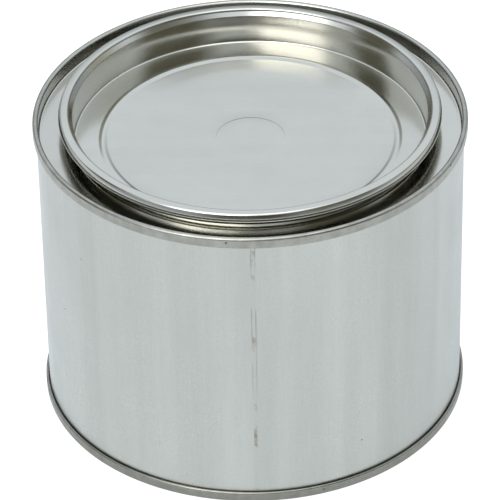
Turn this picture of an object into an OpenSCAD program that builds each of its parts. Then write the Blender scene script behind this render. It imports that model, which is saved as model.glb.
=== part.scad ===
// Squat round lever-lid paint can in plain tinplate.
// Origin at the middle of the foot, +Z up. Millimetres.
// Every piece is thin sheet, drawn as the line along the middle of the sheet and then
// thickened, so each fold keeps the sheet's own thickness.

/* [Can] */
// Diameter over the double seams
seam_d = 108; // [80:1:165]
// Height from the foot to the crown of the top seam
can_h = 80; // [50:1:180]

/* [Tinplate] */
// Thickness of the rolled body sheet
body_t = 0.25; // [0.2:0.01:0.32]
// Thickness of the top ring and of the bottom end
end_t = 0.28; // [0.22:0.01:0.34]
// Thickness of the lever lid
lid_t = 0.25; // [0.2:0.01:0.32]
// Usual bend radius at the middle of the sheet
soft_bend = 0.6; // [0.4:0.05:0.8]

/* [Double seams] */
// Height of each double seam
seam_h = 2.8; // [2.6:0.1:3.6]
// Gap between neighbouring layers of the seam
layer_gap = 0.03; // [0.02:0.01:0.05]
// Bend radius at the seam's crown, at the middle of the sheet
crown_bend = 0.45; // [0.35:0.05:0.5]
// Height of the pocket over the body's flange that holds the sealing compound
pocket_h = 0.25; // [0.2:0.05:0.35]
// Space between a hook's cut edge and the fold that it reaches into
hook_gap = 0.25; // [0.2:0.05:0.4]
// Width of the sealing compound across the pocket
compound_w = 0.36; // [0.2:0.02:0.4]

/* [Top ring] */
// Depth of the ring's flat panel below the seam's crown
ring_depth = 3.7; // [3.2:0.1:6]
// Width of the ring from the seam's inner wall to the mouth
ring_w = 8.24; // [6:0.01:16]
// Bend radius from the panel into the mouth, at the middle of the sheet
mouth_bend = 0.8; // [0.5:0.05:1.2]
// Depth of the mouth's neck below the panel
neck_h = 7; // [5.5:0.1:10]
// Width of the curl under the neck, between the middles of its two walls
neck_curl_w = 1.8; // [1.4:0.1:2.4]
// Height of the curl's free wall
neck_curl_h = 1.8; // [1.4:0.1:3]

/* [Lever lid] */
// Height of the rim's top above the seam's crown
lid_rise = 2.5; // [1.5:0.1:4]
// How far the rim reaches out past the mouth's wall
rim_reach = 3.2; // [2.8:0.1:5]
// Width of the rim's top, over both faces
rim_w = 2.6; // [2.4:0.1:2.8]
// Height of the rim from its top to its rolled lip
rim_h = 2.5; // [2:0.1:3.2]
// Width of the lip that is rolled in under the rim, between the middles of its walls
lip_w = 1; // [0.9:0.05:1.2]
// Height of the lip's free wall
lip_h = 1; // [0.8:0.1:1.4]
// Depth of the lid's well below the rim's top
well_depth = 9.4; // [8:0.1:14]
// Radial clearance between the lid's plug and the mouth
plug_gap = 0.08; // [0.05:0.01:0.15]

/* [Lid panel] */
// Distance from the plug's wall in to the middle of the stiffening bead
bead_inset = 7.3; // [4:0.1:12]
// Width of the bead over its foot
bead_w = 2.1; // [1.6:0.1:3]
// Height of the bead above the panel
bead_h = 0.35; // [0.2:0.05:0.5]
// Diameter of the shallow round stamped in the middle of the panel
stamp_d = 17; // [8:1:30]
// Height of the stamped round
stamp_h = 0.08; // [0.05:0.01:0.2]

/* [Bottom end] */
// Depth of the bottom panel's outer ring above the foot
bottom_depth = 4.3; // [3.6:0.1:6]
// Height of each of the two steps that bring the panel back towards the foot
step_h = 0.7; // [0.4:0.1:0.9]
// Width of each step's slope
step_w = 1.3; // [1:0.1:2]
// Distance from the seam's inner wall in to the first step
first_step = 5; // [4:0.5:10]
// Distance from the seam's inner wall in to the second step
second_step = 19; // [14:0.5:24]

/* [Side seam] */
// Width of the welded side seam
weld_w = 0.8; // [0.5:0.1:1.5]
// How far the weld stands proud of the body sheet's outer face
weld_proud = 0.06; // [0.02:0.01:0.1]
// Distance from each double seam to the end of the open weld
weld_margin = 0.4; // [0.2:0.1:2]
// Turn of the side seam from the front of the can
weld_turn = 0; // [-180:0.1:180]

/* [Hidden] */

$fn = 180;
// Turn between two neighbouring points of a bend
bend_step = 15;
// Radial room that a cutting box has on each side of the sheet
cut_room = 1;
// Angle of the can's front, which faces -Y
front_angle = -90;

// Middles of the five layers of a double seam, from the outside in
seaming_r = seam_d / 2 - end_t / 2;
layer_step = (body_t + end_t) / 2 + layer_gap;
body_hook_r = seaming_r - layer_step;
cover_hook_r = body_hook_r - layer_step;
wall_r = cover_hook_r - layer_step;
chuck_r = wall_r - layer_step;

// Bends of the seam, which follow from its layers
fold_bend = layer_step;
crown_r = min(crown_bend, (seaming_r - chuck_r) / 2);

// Depths below the seam's crown
flange_d = end_t + pocket_h + body_t / 2;
body_hook_tip_d = seam_h - end_t - hook_gap;
cover_hook_tip_d = flange_d + body_t / 2 + hook_gap;

// Mouth and neck of the top ring
mouth_r = chuck_r - end_t / 2 - ring_w;
neck_r = mouth_r + end_t / 2;
panel_d = ring_depth + end_t / 2;
neck_foot_d = ring_depth + neck_h - end_t / 2;

// Lid, at the middle of its sheet
plug_r = mouth_r - plug_gap - lid_t / 2;
flare_z = can_h - ring_depth - mouth_bend;
rim_z = can_h + lid_rise - lid_t / 2;
rim_out_r = mouth_r + rim_reach - lid_t / 2;
rim_in_r = rim_out_r - rim_w + lid_t;
lip_z = can_h + lid_rise - rim_h + lid_t / 2;
floor_z = can_h + lid_rise - well_depth - lid_t / 2;
rim_bend = 0.5;
lip_bend = lip_w / 2;
flare_bend = 2;
bead_r = plug_r - lid_t / 2 - bead_inset;
bead_bend = 0.9;
stamp_slope = 0.6;
stamp_bend = 0.3;

// Bends of the neck's curl and of the bottom's steps
neck_curl_bend = neck_curl_w / 2;
step_bend = 0.8;

// Vector of length 1 along v
function unit(v) = v / norm(v);

// Vector v turned left by a right angle
function left_of(v) = [-v.y, v.x];

// Vector v turned left by an angle
function turned(v, angle) = [
    v.x * cos(angle) - v.y * sin(angle),
    v.x * sin(angle) + v.y * cos(angle),
];

// Left turn from direction u to direction v
function turn_between(u, v) = atan2(u.x * v.y - u.y * v.x, u.x * v.x + u.y * v.y);

// Direction from point a to point b
function heading(a, b) = unit([b.x - a.x, b.y - a.y]);

// The bend at corner b between corners a and c, as a list of [place, left normal].
// A corner is [radius, height, bend radius].
function bend_at(a, b, c) =
    let (
        into = heading(a, b),
        turn = turn_between(into, heading(b, c)),
        side = sign(turn),
        start = [b.x, b.y] - into * b.z * tan(abs(turn) / 2),
        centre = start + left_of(into) * side * b.z,
        steps = max(1, ceil(abs(turn) / bend_step))
    )
    [
        for (k = [0 : steps])
            let (normal = turned(left_of(into), turn * k / steps))
                [centre - normal * side * b.z, normal]
    ];

// The whole middle line through a list of corners
function middle_line(corners) =
    let (last = len(corners) - 1)
    [
        [[corners[0].x, corners[0].y], left_of(heading(corners[0], corners[1]))],
        for (i = [1 : last - 1])
            each bend_at(corners[i - 1], corners[i], corners[i + 1]),
        [
            [corners[last].x, corners[last].y],
            left_of(heading(corners[last - 1], corners[last])),
        ],
    ];

// Outline of a sheet of thickness t that follows a list of corners
function sheet_outline(corners, t) =
    let (
        line = middle_line(corners),
        last = len(line) - 1
    )
    [
        for (p = line) p[0] + p[1] * t / 2,
        for (i = [last : -1 : 0]) line[i][0] - line[i][1] * t / 2,
    ];

// A list of corners given as [radius, depth below the top crown, bend radius], set at height
function hung_from_top(corners) = [for (c = corners) [c.x, can_h - c.y, c.z]];

// The part of an end that takes up the seam: cover hook, seaming wall, crown and chuck wall.
// Corners are [radius, depth below the crown, bend radius].
function end_seam_corners() = [
    [cover_hook_r, cover_hook_tip_d, 0],
    [cover_hook_r, seam_h - end_t / 2, fold_bend],
    [seaming_r, seam_h - end_t / 2, fold_bend],
    [seaming_r, end_t / 2, crown_r],
    [chuck_r, end_t / 2, crown_r],
];

// Both flanges and the wall of the rolled body, from the foot up
function body_corners() = [
    [body_hook_r, body_hook_tip_d, 0],
    [body_hook_r, flange_d, fold_bend],
    [wall_r, flange_d, fold_bend],
    [wall_r, can_h - flange_d, fold_bend],
    [body_hook_r, can_h - flange_d, fold_bend],
    [body_hook_r, can_h - body_hook_tip_d, 0],
];

// Flat panel, mouth, neck and the curl under the neck
function ring_corners() = [
    [chuck_r, panel_d, soft_bend],
    [neck_r, panel_d, mouth_bend],
    [neck_r, neck_foot_d, neck_curl_bend],
    [neck_r + neck_curl_w, neck_foot_d, neck_curl_bend],
    [neck_r + neck_curl_w, neck_foot_d - neck_curl_h, 0],
];

// Bottom panel with its two steps, as heights above the foot
function bottom_panel_corners() =
    let (
        outer_z = bottom_depth + end_t / 2,
        first_r = chuck_r - first_step,
        second_r = chuck_r - second_step
    )
    [
        [chuck_r, outer_z, soft_bend],
        [first_r, outer_z, step_bend],
        [first_r - step_w, outer_z - step_h, step_bend],
        [second_r, outer_z - step_h, step_bend],
        [second_r - step_w, outer_z - 2 * step_h, step_bend],
        [0, outer_z - 2 * step_h, 0],
    ];

// Stamped round, panel, bead, plug, flare, rim and rolled lip, from the middle out
function lid_corners() = [
    [0, floor_z + stamp_h, 0],
    [(stamp_d - stamp_slope) / 2, floor_z + stamp_h, stamp_bend],
    [(stamp_d + stamp_slope) / 2, floor_z, stamp_bend],
    [bead_r - bead_w / 2, floor_z, bead_bend],
    [bead_r - bead_w / 6, floor_z + bead_h, bead_bend],
    [bead_r + bead_w / 6, floor_z + bead_h, bead_bend],
    [bead_r + bead_w / 2, floor_z, bead_bend],
    [plug_r, floor_z, soft_bend],
    [plug_r, flare_z, flare_bend],
    [rim_in_r, rim_z, rim_bend],
    [rim_out_r, rim_z, rim_bend],
    [rim_out_r, lip_z, lip_bend],
    [rim_out_r - lip_w, lip_z, lip_bend],
    [rim_out_r - lip_w, lip_z + lip_h, 0],
];

// A sheet spun round the can's axis
module spun_sheet(corners, t) {
    rotate_extrude() polygon(sheet_outline(corners, t));
}

// Box along the side seam, on both sides of the body's wall and as wide as the weld
module weld_box() {
    low_z = seam_h + weld_margin;
    rotate([0, 0, front_angle + weld_turn])
        translate([wall_r - cut_room, -weld_w / 2, low_z])
            cube([2 * cut_room, weld_w, can_h - 2 * low_z]);
}

// Thread of sealing compound that lies on the body's flange, inside the seam's crown.
// depth is from the crown to the middle of the pocket.
module compound_ring(middle_z) {
    rotate_extrude()
        translate([(wall_r + body_hook_r) / 2, middle_z])
            square([compound_w, pocket_h - 2 * layer_gap], center = true);
}

// Rolled body, flanged and hooked into both seams, open where the weld joins its edges
module body_wall() {
    color("#c6cbca")
        difference() {
            spun_sheet(body_corners(), body_t);
            weld_box();
        }
}

// Weld that joins the two edges of the body sheet
module side_seam() {
    color("#a9aca8")
        intersection() {
            rotate_extrude()
                translate([wall_r - body_t / 2, 0])
                    square([body_t + weld_proud, can_h]);
            weld_box();
        }
}

// Countersunk bottom end
module bottom_end() {
    color("#b4b8b5")
        spun_sheet(concat(end_seam_corners(), bottom_panel_corners()), end_t);
}

// Sealing compound in the bottom seam
module bottom_seam_compound() {
    color("#8a8478") compound_ring(end_t + pocket_h / 2);
}

// Ring with the lid's mouth
module top_ring() {
    color("#c9cdcb")
        spun_sheet(hung_from_top(concat(end_seam_corners(), ring_corners())), end_t);
}

// Sealing compound in the top seam
module top_seam_compound() {
    color("#8a8478") compound_ring(can_h - end_t - pocket_h / 2);
}

// Lid that plugs the mouth and is levered off under its rim
module lever_lid() {
    color("#d2d6d4") spun_sheet(lid_corners(), lid_t);
}

body_wall();
side_seam();
bottom_end();
bottom_seam_compound();
top_ring();
top_seam_compound();
lever_lid();
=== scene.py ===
# %% [markdown]
# # A lever-lid paint can in plain tinplate
# The can is made almost wholly of one thing: steel sheet a quarter of a millimetre
# thick with a skin of tin. So every piece here is modelled as a tinsmith thinks of it,
# as a line that is bent, swept round the can's middle, and given the sheet's gauge.
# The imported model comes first, because it fixes where everything is.

# %% Load the frame
import math

import bmesh
import bpy
from mathutils import Matrix, Vector


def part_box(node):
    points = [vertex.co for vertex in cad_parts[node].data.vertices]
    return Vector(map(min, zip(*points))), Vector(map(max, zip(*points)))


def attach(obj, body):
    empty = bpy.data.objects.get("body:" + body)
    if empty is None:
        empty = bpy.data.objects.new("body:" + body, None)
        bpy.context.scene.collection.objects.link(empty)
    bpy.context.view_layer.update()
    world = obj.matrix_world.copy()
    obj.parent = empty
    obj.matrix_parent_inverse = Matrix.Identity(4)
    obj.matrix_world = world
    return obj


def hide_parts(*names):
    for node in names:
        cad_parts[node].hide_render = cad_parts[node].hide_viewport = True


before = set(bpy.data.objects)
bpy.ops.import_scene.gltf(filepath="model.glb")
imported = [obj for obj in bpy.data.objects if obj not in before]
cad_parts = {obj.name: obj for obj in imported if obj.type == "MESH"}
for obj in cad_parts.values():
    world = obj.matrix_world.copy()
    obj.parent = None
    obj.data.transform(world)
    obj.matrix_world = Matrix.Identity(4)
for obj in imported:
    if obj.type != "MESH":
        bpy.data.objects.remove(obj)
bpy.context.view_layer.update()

# %% [markdown]
# ## Sizes
# The can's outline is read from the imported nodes: how wide and how high each piece is.
# A node's box can't say how the sheet runs inside it, so the folds of each piece are
# written where the piece is made, in the sizes that a can maker uses. The gauge comes
# first: 0.25 mm plate for the body and the lid, and 0.28 mm for the two ends.

# %% Read the sizes
MM = 0.001
BODY_GAUGE = 0.25 * MM
END_GAUGE = 0.28 * MM
LID_GAUGE = 0.25 * MM

ring_low, ring_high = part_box("top_ring")
lid_low, lid_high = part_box("lever_lid")
weld_low, weld_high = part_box("side_seam")
wall_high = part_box("body_wall")[1]

seam_radius = ring_high.x
can_top = ring_high.z
print("can", round(2 * seam_radius / MM, 2), "mm across,", round(can_top / MM, 2), "mm to the seam")

# %% [markdown]
# A double seam is five layers of sheet folded round each other. Going in from the
# outside they are the end's seaming panel, the body's hook, the end's hook, the body's
# wall and the end's inner chuck wall. Each layer lies one step further in than the last.

# %% Place the layers of the double seam
LAYER_GAP = 0.03 * MM

layer_step = (BODY_GAUGE + END_GAUGE) / 2 + LAYER_GAP
panel_layer = seam_radius - END_GAUGE / 2
body_hook_layer = panel_layer - layer_step
end_hook_layer = body_hook_layer - layer_step
wall_layer = end_hook_layer - layer_step
chuck_layer = wall_layer - layer_step
print("the seam's layers lie", round(layer_step / MM, 3), "mm apart, from radius",
      round(panel_layer / MM, 3), "in to", round(chuck_layer / MM, 3), "mm")

# %% [markdown]
# ## The bending bench
# A sheet piece starts as a small plane merged to one point, which is then extruded from
# corner to corner of the piece's section. Each corner is beveled to its bend, the line
# is spun round the can's middle, and a Solidify modifier gives the sheet its gauge. A
# Screw modifier could sweep the line too, but after a spin in edit mode the seam and
# the pole can be merged before the sheet gets its gauge.
#
# An operator acts on all that is selected, so the first two helpers select nothing at
# all, or just the points that the next step needs.

# %% Select nothing, or points by their place
SAME_PLACE = 0.001 * MM


def clear():
    """Back to object mode with nothing selected."""
    if bpy.context.object and bpy.context.object.mode != "OBJECT":
        bpy.ops.object.mode_set(mode="OBJECT")
    bpy.ops.object.select_all(action="DESELECT")


def pick(piece, test):
    """In edit mode, selects the vertices whose place passes the test."""
    bpy.ops.mesh.select_mode(type="VERT")
    bpy.ops.mesh.select_all(action="DESELECT")
    mesh = bmesh.from_edit_mesh(piece.data)
    for vertex in mesh.verts:
        vertex.select = bool(test(vertex.co))
    mesh.select_flush(True)
    bmesh.update_edit_mesh(piece.data)


# %% [markdown]
# The section is drawn in the plane that cuts the can in half, so a corner is a radius
# and a height, and the bend radius that it is to have. Extruding one point again and
# again keeps the corners in order.

# %% Draw a section
def draw_line(name, corners):
    """A line through (radius, height, bend) corners, with the bends still sharp."""
    clear()
    radius, height, _ = corners[0]
    bpy.ops.mesh.primitive_plane_add(size=MM, location=(radius, 0, height))
    piece = bpy.context.object
    piece.name = piece.data.name = name
    bpy.ops.object.transform_apply(location=True, rotation=True, scale=True)
    bpy.ops.object.mode_set(mode="EDIT")
    bpy.ops.mesh.select_all(action="SELECT")
    bpy.ops.mesh.merge(type="CENTER")
    for here, there in zip(corners, corners[1:]):
        step = (there[0] - here[0], 0, there[1] - here[1])
        bpy.ops.mesh.extrude_region_move(TRANSFORM_OT_translate={"value": step})
    return piece


# %% [markdown]
# A bevel cuts a corner back by some length along each side. For a bend of a given
# radius, that length is the radius times the tangent of half the turn. It is kept a
# hair short, so that two bends that meet don't land on the same point.

# %% Bend the corners
BEND_STEP = math.radians(13)
HAIR_SHORT = 0.999


def bend_corners(piece, corners):
    """Bevels each corner that has a bend radius."""
    for before, corner, after in zip(corners, corners[1:], corners[2:]):
        bend = corner[2]
        if not bend:
            continue
        here = Vector(corner[:2])
        come = (here - Vector(before[:2])).normalized()
        leave = (Vector(after[:2]) - here).normalized()
        turn = come.angle(leave)
        place = Vector((corner[0], 0, corner[1]))
        pick(piece, lambda co: (co - place).length < SAME_PLACE)
        bpy.ops.mesh.bevel(affect="VERTICES", offset_type="OFFSET", profile=0.5,
                           offset=bend * math.tan(turn / 2) * HAIR_SHORT,
                           segments=max(2, round(turn / BEND_STEP)))


# %% [markdown]
# A long straight run would spin into faces as tall as the can and only a millimetre
# wide. Cutting it every few millimetres keeps the faces even, which suits smooth
# shading and a clean export.

# %% Cut the long runs
LONGEST_RUN = 4 * MM
LENGTH_DIGITS = 7
SAME_LENGTH = 0.0001 * MM


def cut_long_runs(piece):
    """Divides each straight run that is too long into even parts."""
    mesh = bmesh.from_edit_mesh(piece.data)
    runs = [edge.calc_length() for edge in mesh.edges]
    for length in sorted({round(run, LENGTH_DIGITS) for run in runs if run > LONGEST_RUN}):
        bpy.ops.mesh.select_mode(type="EDGE")
        bpy.ops.mesh.select_all(action="DESELECT")
        mesh = bmesh.from_edit_mesh(piece.data)
        for edge in mesh.edges:
            edge.select = abs(edge.calc_length() - length) < SAME_LENGTH
        bmesh.update_edit_mesh(piece.data)
        bpy.ops.mesh.subdivide(number_cuts=math.ceil(length / LONGEST_RUN) - 1)
    bpy.ops.mesh.select_mode(type="VERT")


# %% [markdown]
# The spin leaves its first and last copies of the line lying on each other, and many
# points on the pole of a piece that reaches the middle. Merging them closes the skin,
# and the normals are set right while it is still a single skin. Solidify then grows it
# to half the gauge on each side, with the thickness kept even round the bends.

# %% Spin the line and give it its gauge
TURNS = 240
MERGE_WITHIN = 0.002 * MM
SMOOTH_UNDER = math.radians(32)


def spin_sheet(piece):
    """Spins the line into a skin, and closes its seam and its pole."""
    bpy.ops.mesh.select_all(action="SELECT")
    bpy.ops.mesh.spin(steps=TURNS, angle=2 * math.pi, center=(0, 0, 0), axis=(0, 0, 1))
    bpy.ops.mesh.select_all(action="SELECT")
    bpy.ops.mesh.remove_doubles(threshold=MERGE_WITHIN)
    bpy.ops.mesh.normals_make_consistent(inside=False)
    bpy.ops.object.mode_set(mode="OBJECT")


def thicken(piece, gauge):
    """Gives a skin its gauge, half on each side, and applies it."""
    clear()
    piece.select_set(True)
    bpy.context.view_layer.objects.active = piece
    sheet = piece.modifiers.new("gauge", "SOLIDIFY")
    sheet.thickness = gauge
    sheet.offset = 0
    sheet.use_even_offset = True
    bpy.ops.object.modifier_apply(modifier=sheet.name)
    bpy.ops.object.shade_smooth_by_angle(angle=SMOOTH_UNDER)


def bend_sheet(name, corners, gauge):
    """The whole bench: line, bends, cuts, spin and gauge."""
    piece = draw_line(name, corners)
    bend_corners(piece, corners)
    cut_long_runs(piece)
    spin_sheet(piece)
    thicken(piece, gauge)
    print(piece.name, len(corners), "corners,", len(piece.data.polygons), "faces")
    return piece


# %% [markdown]
# ## The double-seamed ends
# Both ends begin with the same fold: up inside the body's hook, round it, over the crown
# and down the chuck wall. The section is given as depths below the crown, so one list
# serves the top and, turned over, the foot.

# %% The seam that both ends share
SEAM_HEIGHT = 2.8 * MM
COMPOUND_POCKET = 0.25 * MM
HOOK_GAP = 0.25 * MM
CROWN_BEND = 0.6 * MM
SOFT_BEND = 0.6 * MM

flange_depth = END_GAUGE + COMPOUND_POCKET + BODY_GAUGE / 2
end_hook_tip = flange_depth + BODY_GAUGE / 2 + HOOK_GAP
body_hook_tip = SEAM_HEIGHT - END_GAUGE - HOOK_GAP
seam_foot = SEAM_HEIGHT - END_GAUGE / 2
crown_bend = min(CROWN_BEND, (panel_layer - chuck_layer) / 2)

seam_section = [
    (end_hook_layer, end_hook_tip, 0),
    (end_hook_layer, seam_foot, layer_step),
    (panel_layer, seam_foot, layer_step),
    (panel_layer, END_GAUGE / 2, crown_bend),
    (chuck_layer, END_GAUGE / 2, crown_bend),
]
print("the hooks overlap by", round((body_hook_tip - end_hook_tip) / MM, 2), "mm")

# %% [markdown]
# The top ring leaves the chuck wall for a flat panel, turns down into the mouth that
# grips the lid, and ends in a small open curl, so that no cut edge meets the paint.

# %% Bend the top ring
MOUTH_BEND = 0.8 * MM
NECK_CURL = 1.8 * MM
RING_DEPTH = 3.7 * MM
MOUTH_RADIUS = 44.3 * MM

neck_layer = MOUTH_RADIUS + END_GAUGE / 2
panel_depth = RING_DEPTH + END_GAUGE / 2
neck_depth = can_top - ring_low.z - END_GAUGE / 2
ring_section = seam_section + [
    (chuck_layer, panel_depth, SOFT_BEND),
    (neck_layer, panel_depth, MOUTH_BEND),
    (neck_layer, neck_depth, NECK_CURL / 2),
    (neck_layer + NECK_CURL, neck_depth, NECK_CURL / 2),
    (neck_layer + NECK_CURL, neck_depth - NECK_CURL, 0),
]
ring_corners = [(radius, can_top - depth, bend) for radius, depth, bend in ring_section]
mouth_ring = bend_sheet("mouth_ring", ring_corners, END_GAUGE)

# %% [markdown]
# The bottom end has no mouth. Its panel is stepped twice, which stiffens it against
# denting and lets one can nest on the rim of another.

# %% Bend the bottom end
BOTTOM_DEPTH = 4.3 * MM
STEP_RISE = 0.7 * MM
STEP_RUN = 1.3 * MM
STEP_BEND = 0.8 * MM
STEP_PLACES = (5 * MM, 19 * MM)

panel_height = BOTTOM_DEPTH + END_GAUGE / 2
bottom_corners = seam_section + [(chuck_layer, panel_height, SOFT_BEND)]
for count, place in enumerate(STEP_PLACES):
    height = panel_height - count * STEP_RISE
    bottom_corners.append((chuck_layer - place, height, STEP_BEND))
    bottom_corners.append((chuck_layer - place - STEP_RUN, height - STEP_RISE, STEP_BEND))
bottom_corners.append((0, panel_height - len(STEP_PLACES) * STEP_RISE, 0))
bottom_plate = bend_sheet("bottom_plate", bottom_corners, END_GAUGE)

# %% [markdown]
# ## The body
# The wall is a blank rolled to a tube and welded down one side. Its two edges are
# flanged out and folded down inside the seams, which is where the can gets its strength.

# %% Bend the body wall
wall_corners = [
    (body_hook_layer, body_hook_tip, 0),
    (body_hook_layer, flange_depth, layer_step),
    (wall_layer, flange_depth, layer_step),
    (wall_layer, can_top - flange_depth, layer_step),
    (body_hook_layer, can_top - flange_depth, layer_step),
    (body_hook_layer, can_top - body_hook_tip, 0),
]
rolled_body = bend_sheet("rolled_body", wall_corners, BODY_GAUGE)

# %% [markdown]
# ## The lever lid
# The lid is one pressing. A shallow round is stamped in the middle of a flat panel, a
# low bead stiffens the panel, and the plug that jams in the mouth stands almost upright
# round it. Above the plug the sheet flares out sharply to a flat rim, falls down a
# steep skirt, and turns in and down to a lip, which is what a screwdriver bears on when
# the can is opened. A solid turned disc would look the same from above, but a lifted
# lid shows its lip and its hollow, so the lid is bent from sheet like the rest.

# %% The lid's well and plug
STAMP_RADIUS = 8.5 * MM
STAMP_RISE = 0.08 * MM
STAMP_SLOPE = 0.28 * MM
STAMP_BEND = 0.15 * MM
BEAD_INSET = 7.3 * MM
BEAD_WIDTH = 2.1 * MM
BEAD_CROWN = BEAD_WIDTH / 4
BEAD_RISE = 0.35 * MM
BEAD_BEND = 0.9 * MM
PLUG_GAP = 0.08 * MM
PLUG_FOOT = 2.5 * MM
PLUG_BEND = 3 * MM

floor_height = lid_low.z + LID_GAUGE / 2
plug_layer = MOUTH_RADIUS - PLUG_GAP - LID_GAUGE / 2
bead_radius = plug_layer - LID_GAUGE / 2 - BEAD_INSET
well_section = [
    (0, floor_height + STAMP_RISE, 0),
    (STAMP_RADIUS - STAMP_SLOPE / 2, floor_height + STAMP_RISE, STAMP_BEND),
    (STAMP_RADIUS + STAMP_SLOPE / 2, floor_height, STAMP_BEND),
    (bead_radius - BEAD_WIDTH / 2, floor_height, BEAD_BEND),
    (bead_radius - BEAD_CROWN / 2, floor_height + BEAD_RISE, BEAD_BEND),
    (bead_radius + BEAD_CROWN / 2, floor_height + BEAD_RISE, BEAD_BEND),
    (bead_radius + BEAD_WIDTH / 2, floor_height, BEAD_BEND),
    (plug_layer, floor_height, SOFT_BEND),
    (plug_layer, floor_height + PLUG_FOOT, PLUG_BEND),
]
print("plug", round(plug_layer / MM, 3), "mm and bead", round(bead_radius / MM, 3), "mm in radius")

# %% [markdown]
# The section goes on from the top of the plug. The rim's top and outer edge come from
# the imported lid, and everything else on it is measured down or in from those two.

# %% The lid's rim and lip
FLARE_DROP = 1.6 * MM
FLARE_LEAN = 0.06 * MM
FLARE_RISE = 0.95 * MM
FLARE_BEND = 0.2 * MM
RIM_WIDTH = 2.6 * MM
RIM_HEIGHT = 2.5 * MM
RIM_FALL = 0.2 * MM
RIM_BENDS = (0.45 * MM, 0.5 * MM)
SKIRT_WIDTH = 0.45 * MM
SKIRT_FOOT = 0.9 * MM
SKIRT_BEND = 0.5 * MM
LIP_TURN = 0.3 * MM
LIP_WIDTH = 1 * MM
LIP_DROP = 1 * MM
LIP_HEIGHT = 1 * MM
LIP_TOE = 0.35 * MM
LIP_BENDS = (0.35 * MM, 0.3 * MM, 0.15 * MM)

rim_height = lid_high.z - LID_GAUGE / 2
rim_out = lid_high.x - LID_GAUGE / 2
rim_in = rim_out - RIM_WIDTH + LID_GAUGE
flare_height = rim_height - FLARE_DROP
lip_height = lid_high.z - RIM_HEIGHT + LID_GAUGE / 2
lip_out = rim_out - LIP_WIDTH
lip_in = lip_out - LIP_TOE
lip_foot = lip_height - LIP_DROP
rim_section = [
    (plug_layer + FLARE_LEAN, flare_height, FLARE_BEND),
    (rim_in, flare_height + FLARE_RISE, FLARE_BEND),
    (rim_in, rim_height, RIM_BENDS[0]),
    (rim_out - SKIRT_WIDTH, rim_height - RIM_FALL, RIM_BENDS[1]),
    (rim_out, lip_height + SKIRT_FOOT, SKIRT_BEND),
    (rim_out, lip_height + LIP_TURN, LIP_BENDS[0]),
    (lip_out, lip_foot, LIP_BENDS[1]),
    (lip_in, lip_foot, LIP_BENDS[2]),
    (lip_in, lip_foot + LIP_HEIGHT, 0),
]
lid_pressing = bend_sheet("lid_pressing", well_section + rim_section, LID_GAUGE)

# %% [markdown]
# ## The side seam
# The blank's two edges overlap by less than a millimetre and are squeezed together
# between copper wires while current melts them into one. What is left is a narrow bar
# of overlapping nuggets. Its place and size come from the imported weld, and it is made
# as if it lay straight in front, and turned to its place last.

# %% Measure the weld
NUGGET_PITCH = 0.9 * MM
NUGGET_LIFT = 0.03 * MM

weld_mid = (weld_low + weld_high) / 2
weld_turn = math.atan2(weld_mid.y, weld_mid.x) + math.pi / 2
weld_width = 2 * weld_high.x * math.cos(weld_turn)
weld_skin = abs(weld_low.y) - NUGGET_LIFT
weld_depth = weld_skin - wall_layer
weld_height = weld_high.z - weld_low.z
nuggets = round(weld_height / NUGGET_PITCH)
pitch = weld_height / nuggets
print("weld", round(weld_width / MM, 2), "mm wide, of", nuggets, "nuggets",
      round(pitch / MM, 3), "mm apart")

# %% [markdown]
# One nugget is a thin block. Its top and bottom are taken off, so that a row of them
# joins up, and its outer face is inset and lifted a little. Its faces are found by
# which way they look.

# %% Shape one nugget
NUGGET_INSET = 0.16 * MM
FACING = 0.9      # the cosine past which a face counts as looking that way


def pick_faces(piece, test):
    """In edit mode, selects the faces whose normal passes the test."""
    bpy.ops.mesh.select_mode(type="FACE")
    bpy.ops.mesh.select_all(action="DESELECT")
    mesh = bmesh.from_edit_mesh(piece.data)
    for face in mesh.faces:
        face.select = bool(test(face.normal))
    bmesh.update_edit_mesh(piece.data)


clear()
nugget_middle = (0, -weld_skin + weld_depth / 2, weld_low.z + pitch / 2)
bpy.ops.mesh.primitive_cube_add(size=1, location=nugget_middle, scale=(weld_width, weld_depth, pitch))
weld_bead = bpy.context.object
weld_bead.name = weld_bead.data.name = "weld_bead"
bpy.ops.object.transform_apply(location=True, rotation=True, scale=True)
bpy.ops.object.mode_set(mode="EDIT")
pick_faces(weld_bead, lambda normal: abs(normal.z) > FACING)
bpy.ops.mesh.delete(type="FACE")
pick_faces(weld_bead, lambda normal: normal.y < -FACING)
bpy.ops.mesh.inset(thickness=NUGGET_INSET, depth=0)
bpy.ops.transform.translate(value=(0, -NUGGET_LIFT, 0))
bpy.ops.object.mode_set(mode="OBJECT")
print("a nugget has", len(weld_bead.data.polygons), "faces")

# %% [markdown]
# The welder makes its nuggets at an even pitch, so an Array modifier repeats the one,
# and merges each to the next. The two open ends of the row are then filled.

# %% Repeat the nugget and close the row
SMOOTH_NUGGETS = math.radians(40)

row = weld_bead.modifiers.new("row", "ARRAY")
row.use_relative_offset = False
row.use_constant_offset = True
row.constant_offset_displace = (0, 0, pitch)
row.count = nuggets
row.use_merge_vertices = True
row.merge_threshold = SAME_PLACE
bpy.ops.object.modifier_apply(modifier=row.name)
bpy.ops.object.mode_set(mode="EDIT")
for end in (weld_low.z, weld_high.z):
    pick(weld_bead, lambda co: abs(co.z - end) < SAME_PLACE)
    bpy.ops.mesh.edge_face_add()
bpy.ops.mesh.select_all(action="SELECT")
bpy.ops.mesh.normals_make_consistent(inside=False)
bpy.ops.transform.rotate(value=-weld_turn, orient_axis="Z", center_override=(0, 0, 0))
bpy.ops.object.mode_set(mode="OBJECT")
bpy.ops.object.shade_smooth_by_angle(angle=SMOOTH_NUGGETS)
print(weld_bead.name, len(weld_bead.data.polygons), "faces")

# %% [markdown]
# ## Colours and nodes
# A hex colour is how a screen shows it. Shaders need the amount of light, so one
# function turns the first into the second. A second function adds a node with its
# settings and links, which keeps each material short enough to read.

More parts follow.
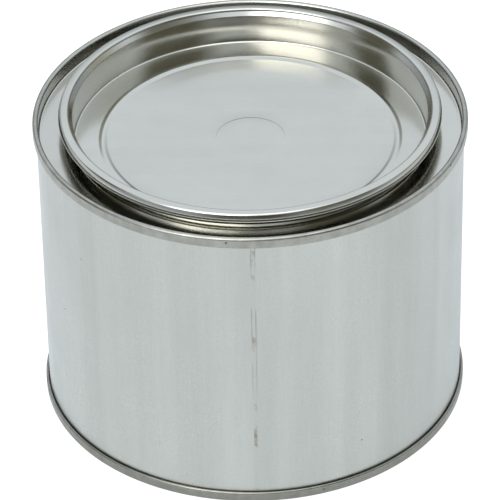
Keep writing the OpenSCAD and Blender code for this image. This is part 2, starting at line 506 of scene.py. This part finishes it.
# %% Helpers for materials
def linear(text):
    """An sRGB hex colour as the linear colour that shaders work in."""
    def one(value):
        return value / 12.92 if value <= 0.04045 else ((value + 0.055) / 1.055) ** 2.4
    return tuple(one(int(text[i:i + 2], 16) / 255) for i in (1, 3, 5)) + (1.0,)


def node(owner, kind, settings=None, **links):
    """Adds a node. A setting is one of its inputs, by name or number, or a property. A
    link's name is the input's, with _ for a space, or n and the input's number."""
    made = owner.node_tree.nodes.new(kind)
    for key, value in (settings or {}).items():
        if isinstance(key, int) or key in made.inputs:
            made.inputs[key].default_value = value
        else:
            setattr(made, key, value)
    for key, source in links.items():
        numbered = key[0] == "n" and key[1:].isdigit()
        name = int(key[1:]) if numbered else key.replace("_", " ")
        owner.node_tree.links.new(source, made.inputs[name])
    return made


def finish_of(name):
    """A new material with no nodes in it yet."""
    material = bpy.data.materials.new(name)
    material.use_nodes = True
    material.node_tree.nodes.clear()
    return material


def dress(piece, material):
    """Gives a piece one material."""
    piece.data.materials.clear()
    piece.data.materials.append(material)


white_light = linear("#FFFFFF")
print("a mid grey of 50 % on a screen is", round(100 * linear("#808080")[0]), "% of the light")

# %% [markdown]
# ## Tinplate
# Tinplate is steel sheet with a skin of tin a few hundredths as thick as a hair. The
# steel is rolled before it is tinned, so it has a grain of fine straight lines, and the
# tin over it is pale, slightly warm and more or less bright. Body plate has a duller,
# stone-rolled finish, and the ends have a brighter one. Tin is a metal, so nearly all
# of its look is what it mirrors. Its own marks are small: a grain, soft bands from the
# rolls, faint wiped patches, hairline scratches and a few specks. Each is a pattern of
# its own, and one is laid over the other. A noise that is squeezed along one axis draws
# the straight lines, because it then changes slowly that way.

# %% Grain, rolled lines, bands and wiped patches
GRAIN = 0.45 * MM      # finer in truth, drawn coarser so that it shows at all
ROLLED_LINE = GRAIN / 0.7
BAND = 9 * MM
PATCH = 16 * MM


def rolled_patterns(tin, place, stretch):
    """Four noises: grain, rolled lines, soft bands and wiped patches."""
    drawn = node(tin, "ShaderNodeMapping", {"Scale": stretch}, Vector=place).outputs["Vector"]
    grain = node(tin, "ShaderNodeTexNoise", {"Scale": 1 / GRAIN, "Detail": 3.0, "Roughness": 0.6},
                 Vector=place)
    lines = node(tin, "ShaderNodeTexNoise", {"Scale": 1 / ROLLED_LINE, "Detail": 3.0, "Roughness": 0.65},
                 Vector=drawn)
    bands = node(tin, "ShaderNodeTexNoise", {"Scale": 1 / BAND, "Detail": 2.0}, Vector=drawn)
    patches = node(tin, "ShaderNodeTexNoise", {"Scale": 1 / PATCH, "Detail": 4.0, "Distortion": 0.6},
                   Vector=place)
    return [pattern.outputs["Fac"] for pattern in (grain, lines, bands, patches)]


# %% [markdown]
# The tin's colour wanders between two close tones. The bands weigh the most, then the
# grain, then the lines. The middle of their sum is stretched over the whole of the
# range, because summed noises seldom come near 0 or 1.

# %% The tin's colour
BAND_SHARE = 0.55
GRAIN_SHARE = 0.45
LINE_SHARE = 0.2
DARK_BELOW, LIGHT_ABOVE = 0.37, 0.83


def rolled_colour(tin, light, dark, grain, lines, bands):
    """Tin that runs from dark to light with its bands, grain and lines."""
    tone = node(tin, "ShaderNodeMath", {"operation": "MULTIPLY", 1: LINE_SHARE}, n0=lines)
    tone = node(tin, "ShaderNodeMath", {"operation": "MULTIPLY_ADD", 1: GRAIN_SHARE},
                n0=grain, n2=tone.outputs[0])
    tone = node(tin, "ShaderNodeMath", {"operation": "MULTIPLY_ADD", 1: BAND_SHARE},
                n0=bands, n2=tone.outputs[0])
    tone = node(tin, "ShaderNodeMapRange", {"From Min": DARK_BELOW, "From Max": LIGHT_ABOVE},
                Value=tone.outputs[0])
    metal = node(tin, "ShaderNodeMix", {"data_type": "RGBA", 6: linear(dark), 7: linear(light)},
                 Factor=tone.outputs["Result"])
    return metal.outputs[2]


# %% [markdown]
# Specks of grit are pressed in here and there. A Voronoi texture has one point in each
# cell, so a small dark spot round that point gives specks that are spread out but not
# in rows. Scratches come from a smooth noise: where it passes one value it draws a
# long thin line, and the patches keep only some of them.

# %% Specks and scratches
SPECK_SPACING = 13 * MM
SPECK_SIZE = 0.22 * MM
SPECK_EDGE = (0.8, 1.4)      # where a speck starts to fade and where it ends, in sizes
SPECK_COLOUR = "#55524A"
SPECK_DEPTH = 0.75
SCRATCH_FIELD = 16.67 * MM
SCRATCH_TILT = (0.5, 0.4, 0.9)
SCRATCH_STRETCH = (0.12, 1, 0.5)
SCRATCH_VALUE, SCRATCH_WIDTH = 0.5, 0.0016
SCRATCHED_FROM, SCRATCHED_FULL = 0.62, 0.7


def specked(tin, place, metal):
    """A colour with small dark specks over it."""
    size = SPECK_SIZE / SPECK_SPACING
    cells = node(tin, "ShaderNodeTexVoronoi", {"Scale": 1 / SPECK_SPACING}, Vector=place)
    speck = node(tin, "ShaderNodeMapRange", {"From Min": SPECK_EDGE[0] * size,
                                             "From Max": SPECK_EDGE[1] * size,
                                             "To Min": SPECK_DEPTH, "To Max": 0.0},
                 Value=cells.outputs["Distance"])
    marked = node(tin, "ShaderNodeMix", {"data_type": "RGBA", 7: linear(SPECK_COLOUR)},
                  Factor=speck.outputs["Result"], n6=metal)
    return marked.outputs[2]


def scratches(tin, place, patches):
    """1 on a hairline scratch and 0 elsewhere."""
    swept = node(tin, "ShaderNodeMapping", {"Rotation": SCRATCH_TILT, "Scale": SCRATCH_STRETCH},
                 Vector=place)
    hair = node(tin, "ShaderNodeTexNoise", {"Scale": 1 / SCRATCH_FIELD, "Detail": 0.0},
                Vector=swept.outputs["Vector"])
    hair = node(tin, "ShaderNodeMath", {"operation": "COMPARE", 1: SCRATCH_VALUE, 2: SCRATCH_WIDTH},
                n0=hair.outputs["Fac"])
    where = node(tin, "ShaderNodeMapRange", {"From Min": SCRATCHED_FROM, "From Max": SCRATCHED_FULL},
                 Value=patches)
    kept = node(tin, "ShaderNodeMath", {"operation": "MULTIPLY"}, n0=hair.outputs[0],
                n1=where.outputs["Result"])
    return kept.outputs[0]


# %% [markdown]
# Roughness is what tells a dull sheet from a bright one. It wanders with the wiped
# patches, and the rolled lines and the scratches add to it. The lines, the grain and
# the scratches also stand a few thousandths of a millimetre high or deep, which a Bump
# node adds without any more mesh.

# %% How rough and how bumpy it is
WIPED = (0.35, 0.68)
WIPED_ROUGHNESS = (-0.035, 0.045)
LINE_ROUGHNESS = 0.06
SCRATCH_ROUGHNESS = 0.05
LINE_HEIGHT = 0.6
SCRATCH_HEIGHT = -0.5
RELIEF = 0.012 * MM


def rolled_roughness(tin, roughness, lines, patches, scratch):
    """A roughness that wanders round the one asked for."""
    smoothest, roughest = (roughness + change for change in WIPED_ROUGHNESS)
    wiped = node(tin, "ShaderNodeMapRange", {"From Min": WIPED[0], "From Max": WIPED[1],
                                             "To Min": smoothest, "To Max": roughest}, Value=patches)
    rough = node(tin, "ShaderNodeMath", {"operation": "MULTIPLY_ADD", 1: LINE_ROUGHNESS}, n0=lines,
                 n2=wiped.outputs["Result"])
    rough = node(tin, "ShaderNodeMath", {"operation": "MULTIPLY_ADD", 1: SCRATCH_ROUGHNESS},
                 n0=scratch, n2=rough.outputs[0])
    return rough.outputs[0]


def rolled_relief(tin, grain, lines, scratch):
    """The normal of a surface with fine lines and grain, cut by scratches."""
    height = node(tin, "ShaderNodeMath", {"operation": "MULTIPLY_ADD", 1: LINE_HEIGHT}, n0=lines, n2=grain)
    height = node(tin, "ShaderNodeMath", {"operation": "MULTIPLY_ADD", 1: SCRATCH_HEIGHT},
                  n0=scratch, n2=height.outputs[0])
    bump = node(tin, "ShaderNodeBump", {"Strength": 0.25, "Distance": RELIEF}, Height=height.outputs[0])
    return bump.outputs["Normal"]


# %% [markdown]
# One function puts the patterns together. The body's plate was rolled upright, so its
# lines run up the can. The ends and the lid were stamped from flat sheet, so theirs run
# straight across, and the lid's lie a quarter turn from the ring's, because nobody
# lines them up.

# %% Three kinds of tinplate
UPRIGHT = (1, 1, 0.05)
ALONG_Y = (1, 0.05, 1)
ALONG_X = (0.05, 1, 1)


def tinplate(name, light, dark, roughness, stretch):
    """Tinplate whose rolled lines run along the axis that stretch makes small. Gives
    the material, its shader and its Object coordinates."""
    tin = finish_of(name)
    place = node(tin, "ShaderNodeTexCoord").outputs["Object"]
    grain, lines, bands, patches = rolled_patterns(tin, place, stretch)
    scratch = scratches(tin, place, patches)
    colour = specked(tin, place, rolled_colour(tin, light, dark, grain, lines, bands))
    shader = node(tin, "ShaderNodeBsdfPrincipled", {"Metallic": 1.0}, Base_Color=colour,
                  Roughness=rolled_roughness(tin, roughness, lines, patches, scratch),
                  Normal=rolled_relief(tin, grain, lines, scratch))
    node(tin, "ShaderNodeOutputMaterial", Surface=shader.outputs["BSDF"])
    print(name, len(tin.node_tree.nodes), "nodes")
    return tin, shader, place


body_tin, body_shader, body_place = tinplate("stone_finish_tinplate", "#CECFC8", "#B9BAB4", 0.27, UPRIGHT)
end_tin, end_shader, end_place = tinplate("bright_finish_tinplate", "#CBC9C0", "#C2C0B7", 0.16, ALONG_Y)
lid_tin = tinplate("bright_lid_tinplate", "#CCCAC1", "#C3C1B8", 0.16, ALONG_X)[0]

# %% [markdown]
# Marks such as wear, heat marks and painted shade are mixed over what a material already has. So a helper
# takes the link that feeds the shader's colour, and puts a mix in between.

# %% Mix a mark over a material
def mix_over(material, shader, factor, colour):
    """Mixes a colour over whatever feeds the shader's base colour."""
    below = shader.inputs["Base Color"].links[0].from_socket
    mixed = node(material, "ShaderNodeMix", {"data_type": "RGBA", 7: linear(colour)},
                 Factor=factor, n6=below)
    material.node_tree.links.new(mixed.outputs[2], shader.inputs["Base Color"])


# %% [markdown]
# Seaming rolls press hard on the folded edge of each end. They leave it duller and
# greyer than the panel inside it, so the ends' tinplate is mixed by its distance from
# the can's middle, with the wear broken up by a fine noise.

# %% Rubbed seams on the ends
RUBBED_FROM = 52.5 * MM
RUBBED_FULL = 53.3 * MM
RUBBED_COLOUR = "#9B9A91"
RUBBED_ROUGHNESS = 0.12
WEAR_GRAIN = 2.38 * MM

flat = node(end_tin, "ShaderNodeMapping", {"Scale": (1, 1, 0)}, Vector=end_place)
radius = node(end_tin, "ShaderNodeVectorMath", {"operation": "LENGTH"}, Vector=flat.outputs["Vector"])
edge = node(end_tin, "ShaderNodeMapRange", {"From Min": RUBBED_FROM, "From Max": RUBBED_FULL},
            Value=radius.outputs["Value"])
worn = node(end_tin, "ShaderNodeTexNoise", {"Scale": 1 / WEAR_GRAIN, "Detail": 3.0}, Vector=end_place)
worn = node(end_tin, "ShaderNodeMapRange", {"From Min": 0.3, "From Max": 0.7, "To Min": 0.6, "To Max": 1.0},
            Value=worn.outputs["Fac"])
rubbed = node(end_tin, "ShaderNodeMath", {"operation": "MULTIPLY"}, n0=edge.outputs["Result"],
              n1=worn.outputs["Result"])
mix_over(end_tin, end_shader, rubbed.outputs[0], RUBBED_COLOUR)

smooth = end_shader.inputs["Roughness"].links[0].from_socket
dulled = node(end_tin, "ShaderNodeMath", {"operation": "MULTIPLY_ADD", 1: RUBBED_ROUGHNESS},
              n0=rubbed.outputs[0], n2=smooth)
end_tin.node_tree.links.new(dulled.outputs[0], end_shader.inputs["Roughness"])
print("the seams are rubbed from", RUBBED_FROM / MM, "mm out")

# %% [markdown]
# The foot end is darkened up to the height of its seam. This is painted shade: it stands in for the
# shadowed table close to the foot, which the seam mirrors.

# %% Painted shade on the foot
FULL_SHADE_BELOW = 2 * MM
NO_SHADE_ABOVE = 4 * MM
FOOT_SHADE_COLOUR = "#6E6A60"
FOOT_SHADE_DEPTH = 0.45

# painted shade: the ends' tinplate is darkened below the seam's height, near the table
tall = node(end_tin, "ShaderNodeSeparateXYZ", Vector=end_place).outputs["Z"]
painted_foot_shade = node(end_tin, "ShaderNodeMapRange", {"From Min": FULL_SHADE_BELOW, "From Max": NO_SHADE_ABOVE,
                                            "To Min": FOOT_SHADE_DEPTH, "To Max": 0.0}, Value=tall)
mix_over(end_tin, end_shader, painted_foot_shade.outputs["Result"], FOOT_SHADE_COLOUR)
print(end_tin.name, "now has", len(end_tin.node_tree.nodes), "nodes")

# %% [markdown]
# The weld's heat leaves its own marks on the wall. On each side of it the tin has
# melted and set again as a thin grey line, which comes and goes along the can and is
# stronger towards the top. It is found by how far a point is from the weld, so the
# pattern is first turned to the weld's place.

# %% Heat marks beside the weld
HEAT_WIDTH = 0.35 * MM
HEAT_FADE = (28 * MM, 52 * MM)
HEAT_DEPTH = (0.1, 0.6)
HEAT_BREAK = 9.09 * MM
HEAT_STRETCH = (4, 4, 1)
BROKEN = (0.44, 0.56)

turned = node(body_tin, "ShaderNodeMapping", {"Rotation": (0, 0, -weld_turn)}, Vector=body_place)
axes = node(body_tin, "ShaderNodeSeparateXYZ", Vector=turned.outputs["Vector"]).outputs
front = node(body_tin, "ShaderNodeMath", {"operation": "LESS_THAN", 1: 0.0}, n0=axes["Y"])
sideways = node(body_tin, "ShaderNodeMath", {"operation": "ABSOLUTE"}, n0=axes["X"])
near = node(body_tin, "ShaderNodeMapRange", {"From Min": weld_width / 2,
                                             "From Max": weld_width / 2 + HEAT_WIDTH,
                                             "To Min": 1.0, "To Max": 0.0}, Value=sideways.outputs[0])
along = node(body_tin, "ShaderNodeMapping", {"Scale": HEAT_STRETCH}, Vector=turned.outputs["Vector"])
broken = node(body_tin, "ShaderNodeTexNoise", {"Scale": 1 / HEAT_BREAK, "Detail": 3.0},
              Vector=along.outputs["Vector"])
broken = node(body_tin, "ShaderNodeMapRange", {"From Min": BROKEN[0], "From Max": BROKEN[1]},
              Value=broken.outputs["Fac"])
upper = node(body_tin, "ShaderNodeMapRange", {"From Min": HEAT_FADE[0], "From Max": HEAT_FADE[1],
                                              "To Min": HEAT_DEPTH[0], "To Max": HEAT_DEPTH[1]},
             Value=axes["Z"])
heat = near
for part in (broken.outputs["Result"], upper.outputs["Result"], front.outputs[0]):
    heat = node(body_tin, "ShaderNodeMath", {"operation": "MULTIPLY"}, n0=heat.outputs[0], n1=part)
print("heat marks reach", round((weld_width / 2 + HEAT_WIDTH) / MM, 2), "mm from the weld's middle")

# %% [markdown]
# Where the wall runs into each seam, a thin band is darkened as painted shade for the crease. It is found
# by height. The heat marks and the painted crease shade have the same grey, so the stronger of the two is
# mixed in.

# %% Painted shade in the creases on the body
CREASE_FROM = 0.1 * MM
CREASE = 0.35 * MM
CREASE_SHADE_DEPTH = 0.75
HEAT_MARK_AND_SHADE_COLOUR = "#6E6961"

heat_marks_and_painted_shade = heat.outputs[0]
for height in (can_top - SEAM_HEIGHT, SEAM_HEIGHT):
    away = node(body_tin, "ShaderNodeMath", {"operation": "SUBTRACT", 1: height}, n0=axes["Z"])
    away = node(body_tin, "ShaderNodeMath", {"operation": "ABSOLUTE"}, n0=away.outputs[0])
    # painted shade: a thin dark band along each crease at a seam
    painted_crease_shade = node(body_tin, "ShaderNodeMapRange", {"From Min": CREASE_FROM, "From Max": CREASE,
                                                 "To Min": CREASE_SHADE_DEPTH, "To Max": 0.0},
                Value=away.outputs[0])
    heat_marks_and_painted_shade = node(body_tin, "ShaderNodeMath", {"operation": "MAXIMUM"}, n0=heat_marks_and_painted_shade,
                 n1=painted_crease_shade.outputs["Result"]).outputs[0]
# mixes the heat marks and the painted crease shade over the body's tin
mix_over(body_tin, body_shader, heat_marks_and_painted_shade, HEAT_MARK_AND_SHADE_COLOUR)
print(body_tin.name, "now has", len(body_tin.node_tree.nodes), "nodes")

# %% [markdown]
# A can that has been handled has a few small nicks. Each one is a dark fleck with a
# ragged edge, placed by its degrees round from the front, its height and its size, the
# last two in millimetres.

# %% Nicks and flecks
NICK_COLOUR = "#4A4842"
NICK_DEPTH = 0.8
NICK_GRAIN = 2 / 3 * MM
NICK_EDGE = (0.9, 1.3)
BODY_NICKS = ((24.5, 46, 0.35), (41, 49, 0.28), (-53, 68, 0.3), (-74, 70, 0.3), (2.5, 66, 0.3))
SEAM_NICKS = ((-6.6, 78.9, 0.5), (64, 79.4, 0.45), (-58, 78.2, 0.3), (18, 1.6, 0.4))


def nick(material, shader, place, turn, radius, height, size):
    """Mixes one small dark fleck over a material."""
    turn = math.radians(turn)
    spot = (radius * math.sin(turn), -radius * math.cos(turn), height)
    gap = node(material, "ShaderNodeVectorMath", {"operation": "DISTANCE", 1: spot}, n0=place)
    ragged = node(material, "ShaderNodeTexNoise", {"Scale": 1 / NICK_GRAIN, "Detail": 2.0}, Vector=place)
    ragged = node(material, "ShaderNodeMath", {"operation": "MULTIPLY_ADD", 1: size},
                  n0=ragged.outputs["Fac"], n2=gap.outputs["Value"])
    inside = node(material, "ShaderNodeMapRange", {"From Min": NICK_EDGE[0] * size,
                                                   "From Max": NICK_EDGE[1] * size,
                                                   "To Min": NICK_DEPTH, "To Max": 0.0},
                  Value=ragged.outputs[0])
    mix_over(material, shader, inside.outputs["Result"], NICK_COLOUR)


for turn, height, size in BODY_NICKS:
    nick(body_tin, body_shader, body_place, turn, wall_high.x, height * MM, size * MM)
for turn, height, size in SEAM_NICKS:
    nick(end_tin, end_shader, end_place, turn, seam_radius, height * MM, size * MM)
print(len(BODY_NICKS), "nicks on the body and", len(SEAM_NICKS), "on the seams")

# %% [markdown]
# ## Welded steel
# The weld itself is bare steel that has been squeezed and scorched. It is duller than
# tin, ranges from pale grey to straw brown along its length, and is lightly pitted. A
# colour ramp on a noise gives the scorching, because its two stops say where the straw
# ends and the grey begins.

# %% Welded steel
SCORCH = 7.69 * MM
STRAW, PALE_STEEL = (0.36, "#9A9384"), (0.47, "#C3C4BE")
PIT = 0.4 * MM
PIT_DEPTH = 0.02 * MM


def colour_stops(ramp, *stops):
    """Sets a colour ramp's two stops, each a position and a hex colour."""
    for element, (position, colour) in zip(ramp.color_ramp.elements, stops):
        element.position = position
        element.color = linear(colour)


weld_steel = finish_of("welded_steel")
place = node(weld_steel, "ShaderNodeTexCoord").outputs["Object"]
tint = node(weld_steel, "ShaderNodeTexNoise", {"Scale": 1 / SCORCH, "Detail": 4.0, "Roughness": 0.6},
            Vector=place)
ramp = node(weld_steel, "ShaderNodeValToRGB", Fac=tint.outputs["Fac"])
colour_stops(ramp, STRAW, PALE_STEEL)
pits = node(weld_steel, "ShaderNodeTexNoise", {"Scale": 1 / PIT, "Detail": 3.0}, Vector=place)
rough = node(weld_steel, "ShaderNodeMapRange", {"To Min": 0.3, "To Max": 0.48}, Value=pits.outputs["Fac"])
bump = node(weld_steel, "ShaderNodeBump", {"Strength": 0.4, "Distance": PIT_DEPTH},
            Height=pits.outputs["Fac"])
shader = node(weld_steel, "ShaderNodeBsdfPrincipled", {"Metallic": 1.0}, Base_Color=ramp.outputs["Color"],
              Roughness=rough.outputs["Result"], Normal=bump.outputs["Normal"])
node(weld_steel, "ShaderNodeOutputMaterial", Surface=shader.outputs["BSDF"])
print(weld_steel.name, len(weld_steel.node_tree.nodes), "nodes")

# %% [markdown]
# ## Dried sealing compound
# Sealing compound is a rubbery paste that is flowed into the end's curl and dries
# matt. It is folded inside the seams, so only a model that is taken apart shows it. The
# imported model's own pieces already have its shape, and only need its finish.

# %% Dried sealing compound
FLOW = 0.8 * MM
FLOW_DEPTH = 0.04 * MM
DARK_PASTE, PALE_PASTE = (0.3, "#7C7468"), (0.7, "#9A9284")
RUBBER_IOR = 1.52

seal = finish_of("dried_sealing_compound")
place = node(seal, "ShaderNodeTexCoord").outputs["Object"]
flow = node(seal, "ShaderNodeTexNoise", {"Scale": 1 / FLOW, "Detail": 4.0}, Vector=place)
ramp = node(seal, "ShaderNodeValToRGB", Fac=flow.outputs["Fac"])
colour_stops(ramp, DARK_PASTE, PALE_PASTE)
rough = node(seal, "ShaderNodeMapRange", {"To Min": 0.6, "To Max": 0.8}, Value=flow.outputs["Fac"])
bump = node(seal, "ShaderNodeBump", {"Strength": 0.5, "Distance": FLOW_DEPTH}, Height=flow.outputs["Fac"])
shader = node(seal, "ShaderNodeBsdfPrincipled", {"IOR": RUBBER_IOR}, Base_Color=ramp.outputs["Color"],
              Roughness=rough.outputs["Result"], Normal=bump.outputs["Normal"])
node(seal, "ShaderNodeOutputMaterial", Surface=shader.outputs["BSDF"])
print(seal.name, len(seal.node_tree.nodes), "nodes")

# %% [markdown]
# ## Hand the pieces over
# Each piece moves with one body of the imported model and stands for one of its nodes.

# %% Hand the pieces to their bodies
for piece, body, cad_node, slot, material in (
    (rolled_body, "can", "body_wall", "body_tinplate", body_tin),
    (mouth_ring, "can", "top_ring", "end_tinplate", end_tin),
    (bottom_plate, "can", "bottom_end", "end_tinplate", end_tin),
    (weld_bead, "can", "side_seam", "weld_steel", weld_steel),
    (lid_pressing, "lid", "lever_lid", "end_tinplate", lid_tin),
):
    dress(piece, material)
    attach(piece, body)
    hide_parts(cad_node)
    print(piece.name, "rides on", body, "in", material.name)
for cad_node in ("top_seam_compound", "bottom_seam_compound"):
    dress(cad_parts[cad_node], seal)

# %% [markdown]
# ## The studio
# Bright metal shows the room more than itself. A white table and a white surround give
# the pale, even panels. A soft box high on one side and another overhead give the
# bright lines along the bends. Dark flags, the cards that a studio stands beside metal,
# give the dark lines that make its edges readable. The flags are seen only in
# reflections.
#
# The table's paint is a pale grey that takes the can's shadow. A glow is added for two
# kinds of ray only: plain white for the camera's, and a cooler, dimmer one for those
# that the metal mirrors. So the table looks white without any more light on it.

# %% White table
TABLE_SIZE = 8
TABLE_PAINT = (0.6, 0.6, 0.6, 1)
TABLE_SEEN = 0.85
TABLE_MIRRORED = 0.55
COOL_FLOOR = "#E6F3FF"

clear()
bpy.ops.mesh.primitive_plane_add(size=TABLE_SIZE, location=(0, 0, 0))
table_top = bpy.context.object
table_top.name = "studio_table"

white = finish_of("white_table_top")
paint = node(white, "ShaderNodeBsdfDiffuse", {"Color": TABLE_PAINT})
rays = node(white, "ShaderNodeLightPath").outputs
clear_rays = node(white, "ShaderNodeMath", {"operation": "MAXIMUM"}, n0=rays["Is Glossy Ray"],
                  n1=rays["Is Transmission Ray"])
to_mirror = node(white, "ShaderNodeMath", {"operation": "MULTIPLY", 1: TABLE_MIRRORED},
                 n0=clear_rays.outputs[0])
to_camera = node(white, "ShaderNodeMath", {"operation": "MULTIPLY", 1: TABLE_SEEN},
                 n0=rays["Is Camera Ray"])
cool = node(white, "ShaderNodeEmission", {"Color": linear(COOL_FLOOR)}, Strength=to_mirror.outputs[0])
plain = node(white, "ShaderNodeEmission", {"Color": white_light}, Strength=to_camera.outputs[0])
glow = node(white, "ShaderNodeAddShader", n0=cool.outputs[0], n1=plain.outputs[0])
both = node(white, "ShaderNodeAddShader", n0=paint.outputs[0], n1=glow.outputs[0])
node(white, "ShaderNodeOutputMaterial", Surface=both.outputs[0])
dress(table_top, white)
print("table", TABLE_SIZE, "m wide")

# %% [markdown]
# The surround is three things to three kinds of ray. It lights the can with a plain,
# even grey, the camera sees it as white, and the metal mirrors a slightly cool room
# that is dim at the horizon and brighter overhead, which is what shades the upright
# walls. In a world, Generated is the direction that a ray goes, so its Z is how steep.

# %% White surround
ROOM_GREY = (0.8, 0.8, 0.8, 1)
ROOM_LEVEL = 0.6
COOL_ROOM = "#EAF4FF"
CLIMB = (0.2, 0.55)
ROOM_MIRRORED = (0.46, 1.17)

world = bpy.data.worlds.new("studio")
bpy.context.scene.world = world
world.use_nodes = True
world.node_tree.nodes.clear()
dim = node(world, "ShaderNodeBackground", {"Color": ROOM_GREY, "Strength": ROOM_LEVEL})
seen = node(world, "ShaderNodeBackground", {"Color": white_light, "Strength": 1.0})
way = node(world, "ShaderNodeTexCoord").outputs["Generated"]
steep = node(world, "ShaderNodeSeparateXYZ", Vector=way).outputs["Z"]
climb = node(world, "ShaderNodeMapRange", {"From Min": CLIMB[0], "From Max": CLIMB[1],
                                           "To Min": ROOM_MIRRORED[0], "To Max": ROOM_MIRRORED[1]},
             Value=steep)
mirrored = node(world, "ShaderNodeBackground", {"Color": linear(COOL_ROOM)},
                Strength=climb.outputs["Result"])
rays = node(world, "ShaderNodeLightPath").outputs
clear_rays = node(world, "ShaderNodeMath", {"operation": "MAXIMUM"}, n0=rays["Is Glossy Ray"],
                  n1=rays["Is Transmission Ray"])
inner = node(world, "ShaderNodeMixShader", n0=clear_rays.outputs[0], n1=dim.outputs[0],
             n2=mirrored.outputs[0])
outer = node(world, "ShaderNodeMixShader", n0=rays["Is Camera Ray"], n1=inner.outputs[0],
             n2=seen.outputs[0])
node(world, "ShaderNodeOutputWorld", Surface=outer.outputs[0])
print("the mirrored room runs from", ROOM_MIRRORED[0], "to", ROOM_MIRRORED[1])

# %% [markdown]
# Lamps and cards all stand round the can and face it. So each is placed by a compass
# angle, a height angle and a distance, as a studio hand would say it.

# %% Place things round the can
EYE = Vector((0, 0, 0.06))


def toward(compass, height, distance):
    """A point seen from the can at a compass angle from its back, and at a height angle."""
    compass, height = math.radians(compass), math.radians(height)
    flat = distance * math.cos(height)
    return EYE + Vector((flat * math.sin(compass), flat * math.cos(compass), distance * math.sin(height)))


def aim(thing, spot):
    """Puts a lamp or a card at a spot, and turns it to face the can."""
    thing.location = spot
    thing.rotation_euler = (EYE - spot).to_track_quat("-Z", "Y").to_euler()


# %% [markdown]
# An area lamp's power spreads over its face, so a large lamp needs more of it to look
# as bright. The helper is given the brightness, because that is what the metal mirrors.

# %% Soft boxes
def soft_box(name, compass, height, distance, size, brightness):
    """A square lamp. Its power is what gives its face the brightness asked for."""
    lamp = bpy.data.lights.new(name, "AREA")
    lamp.shape = "SQUARE"
    lamp.size = size
    lamp.energy = math.pi * size * size * brightness
    thing = bpy.data.objects.new(name, lamp)
    bpy.context.scene.collection.objects.link(thing)
    aim(thing, toward(compass, height, distance))
    thing.visible_camera = False
    print(name, round(lamp.energy, 2), "W")


soft_box("side_soft_box", -150, 42, 1.4, 0.9, 2.6)
soft_box("top_soft_box", 180, 78, 1.3, 0.9, 1.3)

# %% [markdown]
# A flag with a hard edge would be mirrored as a hard line, which looks like a mark on
# the metal. So each card is made clear towards its edges: its two coordinates run from
# 0 to 1, a ping-pong folds each back at the middle, and a smooth step fades it in.

# %% Dark flags
FLAG_FADE = 0.3
FELT = "#F2F0CC"


def flag(name, compass, height, distance, width, tall, brightness):
    """A dark card that only reflections see."""
    clear()
    bpy.ops.mesh.primitive_plane_add(size=1, location=(0, 0, 0))
    card = bpy.context.object
    card.name = name
    card.scale = (width, tall, 1)
    aim(card, toward(compass, height, distance))
    felt = finish_of(name + "_felt")
    spot = node(felt, "ShaderNodeTexCoord").outputs["UV"]
    parts = node(felt, "ShaderNodeSeparateXYZ", Vector=spot).outputs
    sides = []
    for part in ("X", "Y"):
        inward = node(felt, "ShaderNodeMath", {"operation": "PINGPONG", 1: 0.5}, n0=parts[part])
        faded = node(felt, "ShaderNodeMapRange",
                     {"interpolation_type": "SMOOTHSTEP", "From Max": FLAG_FADE}, Value=inward.outputs[0])
        sides.append(faded.outputs["Result"])
    solid = node(felt, "ShaderNodeMath", {"operation": "MULTIPLY"}, n0=sides[0], n1=sides[1])
    shade = node(felt, "ShaderNodeEmission", {"Color": linear(FELT), "Strength": brightness})
    through = node(felt, "ShaderNodeBsdfTransparent")
    both = node(felt, "ShaderNodeMixShader", n0=solid.outputs[0], n1=through.outputs[0],
                n2=shade.outputs[0])
    node(felt, "ShaderNodeOutputMaterial", Surface=both.outputs[0])
    dress(card, felt)
    for kind in ("camera", "diffuse", "shadow", "transmission"):
        setattr(card, "visible_" + kind, False)
    print(name, width, "by", tall, "m")


flag("left_flag", -90, 26, 0.7, 0.5, 0.7, 0.13)
flag("right_flag", 128, 26, 0.7, 0.8, 0.8, 0.16)
flag("far_right_flag", 78, 14, 0.8, 0.5, 0.5, 0.42)
flag("camera_flag", 180, 16, 0.75, 1.0, 0.5, 0.08)

# %% [markdown]
# The camera stands a metre off and looks down on the can with a long lens, so that the
# round shapes keep their proportions. Its turn is built from three simple ones: the
# roll of the camera, its tilt down, and its turn from straight ahead.

# %% Camera
LENS, SENSOR = 274.15, 36
NEAR, FAR = 0.01, 20
STAND = Vector((0, -0.78694, 0.6007))
TILT, YAW, ROLL = 0.6204, -0.0008, -0.0185

camera_data = bpy.data.cameras.new("camera")
camera_data.lens, camera_data.sensor_width = LENS, SENSOR
camera_data.clip_start, camera_data.clip_end = NEAR, FAR
camera = bpy.data.objects.new("camera", camera_data)
bpy.context.scene.collection.objects.link(camera)
bpy.context.scene.camera = camera
turn = (Matrix.Rotation(-YAW, 4, "Z") @ Matrix.Rotation(math.pi / 2 - TILT, 4, "X")
        @ Matrix.Rotation(ROLL, 4, "Z"))
camera.matrix_world = Matrix.Translation(STAND) @ turn
bpy.context.scene.view_settings.view_transform = "Standard"
print("camera", round(STAND.length, 2), "m off, looking", round(math.degrees(TILT)), "degrees down")
